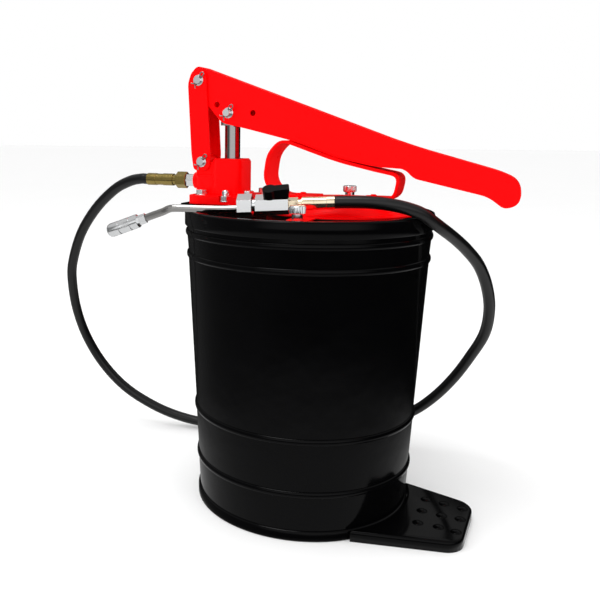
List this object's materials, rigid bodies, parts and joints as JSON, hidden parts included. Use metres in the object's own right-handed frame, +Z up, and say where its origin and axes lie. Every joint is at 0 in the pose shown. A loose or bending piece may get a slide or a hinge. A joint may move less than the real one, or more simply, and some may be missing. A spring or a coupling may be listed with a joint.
{
  "type": "grease gun",
  "caption": "Lever-operated bucket grease pump: steel pail with foot plate, piston pump head, high-pressure hose, shut-off valve and grease coupler.",
  "frame": {"origin": "on the floor, on the pail's axis", "axes": "+Z up along the pail's axis; +X towards the lever's grip; the valve and coupler lie on the -Y side"},
  "size_m": [0.5854, 0.3165, 0.4958],
  "materials": {
    "red_paint": "gloss",
    "black_paint": "gloss",
    "zinc": "zinc plated",
    "chrome": "polished",
    "steel": "machined",
    "brass": "passivated",
    "black_rubber": "satin",
    "black_grip": "moulded"
  },
  "bodies": {
    "pail": {"pail_shell": "black_paint", "pail_bottom": "black_paint", "foot_plate": "black_paint", "lid": "black_paint", "pump_plate": "black_paint", "filler_gasket": "black_rubber", "filler_cover": "red_paint", "strap_handle": "red_paint", "handle_rivets": "red_paint", "cover_nuts": "zinc", "pump_head": "red_paint", "head_bolts": "zinc", "head_stud_nut": "zinc", "rod_seal": "black_rubber", "gland_nut": "steel", "pump_barrel": "steel", "foot_valve": "steel", "discharge_spring": "steel", "outlet_adapter": "zinc", "outlet_swivel_nut": "brass", "outlet_ferrule": "brass", "link_pin": "zinc", "link_pin_washers": "zinc", "link_pin_cotter": "zinc", "hose": "black_rubber", "valve_ferrule": "brass", "valve_swivel_nut": "brass", "valve_body": "zinc"},
    "link": {"link": "red_paint", "fulcrum_pin": "zinc", "fulcrum_washers": "zinc", "fulcrum_cotter": "zinc"},
    "lever": {"lever": "red_paint", "rod_pin": "zinc", "rod_pin_washers": "zinc", "rod_pin_cotter": "zinc"},
    "rod": {"plunger_rod": "chrome", "connecting_rod": "steel", "pump_piston": "steel", "piston_cup": "black_rubber", "piston_nut": "zinc"},
    "front_screw": {"front_knurled_screw": "zinc"},
    "rear_screw": {"rear_knurled_screw": "zinc"},
    "valve_handle": {"valve_handle": "black_grip", "valve_plug": "brass"},
    "spout": {"spout_swivel": "zinc", "spout_tube": "chrome", "coupler_nut": "zinc", "coupler_body": "zinc", "coupler_jaws": "steel", "coupler_spring": "steel", "coupler_seal": "black_rubber"},
    "intake_ball": {"foot_valve_ball": "chrome"},
    "discharge_ball": {"discharge_ball": "chrome"}
  },
  "joints": [
    {"name": "link_swing", "type": "hinge", "parent": "pail", "child": "link", "pos_m": [-0.124, 0, 0.387], "axis": [0, -1, 0], "range_deg": [0, 10.8]},
    {"name": "lever_hinge", "type": "hinge", "parent": "link", "child": "lever", "pos_m": [-0.128, 0, 0.48], "axis": [0, -1, 0], "range_deg": [0, 29.2]},
    {"name": "rod_slide", "type": "slide", "parent": "pail", "child": "rod", "axis": [0, 0, 1], "range_m": [0, 0.0288]},
    {"name": "front_screw_turn", "type": "hinge", "parent": "pail", "child": "front_screw", "pos_m": [0.022, -0.112, 0.335], "axis": [0, 0, 1], "continuous": true},
    {"name": "rear_screw_turn", "type": "hinge", "parent": "pail", "child": "rear_screw", "pos_m": [0.022, 0.112, 0.335], "axis": [0, 0, 1], "continuous": true},
    {"name": "valve_turn", "type": "hinge", "parent": "pail", "child": "valve_handle", "pos_m": [-0.0138, -0.08682, 0.34695], "axis": [-0.0406, 0.501, -0.8645], "range_deg": [0, 90]},
    {"name": "spout_turn", "type": "hinge", "parent": "pail", "child": "spout", "pos_m": [-0.0403, -0.09174, 0.34534], "axis": [-0.9815, -0.1819, -0.0593], "range_deg": [-90, 90]},
    {"name": "intake_ball_lift", "type": "slide", "parent": "pail", "child": "intake_ball", "axis": [0, 0, 1], "range_m": [0, 0.004]},
    {"name": "discharge_ball_lift", "type": "slide", "parent": "pail", "child": "discharge_ball", "axis": [-1, 0, 0], "range_m": [0, 0.002], "stiffness_N_per_m": 300, "springref_m": -0.001, "deforming": ["discharge_spring"]}
  ],
  "couplings": [
    {"joint": "link_swing", "follows": "lever_hinge", "ratio": 0.36642},
    {"joint": "rod_slide", "follows": "lever_hinge", "m_per_rad": 0.056303}
  ]
}
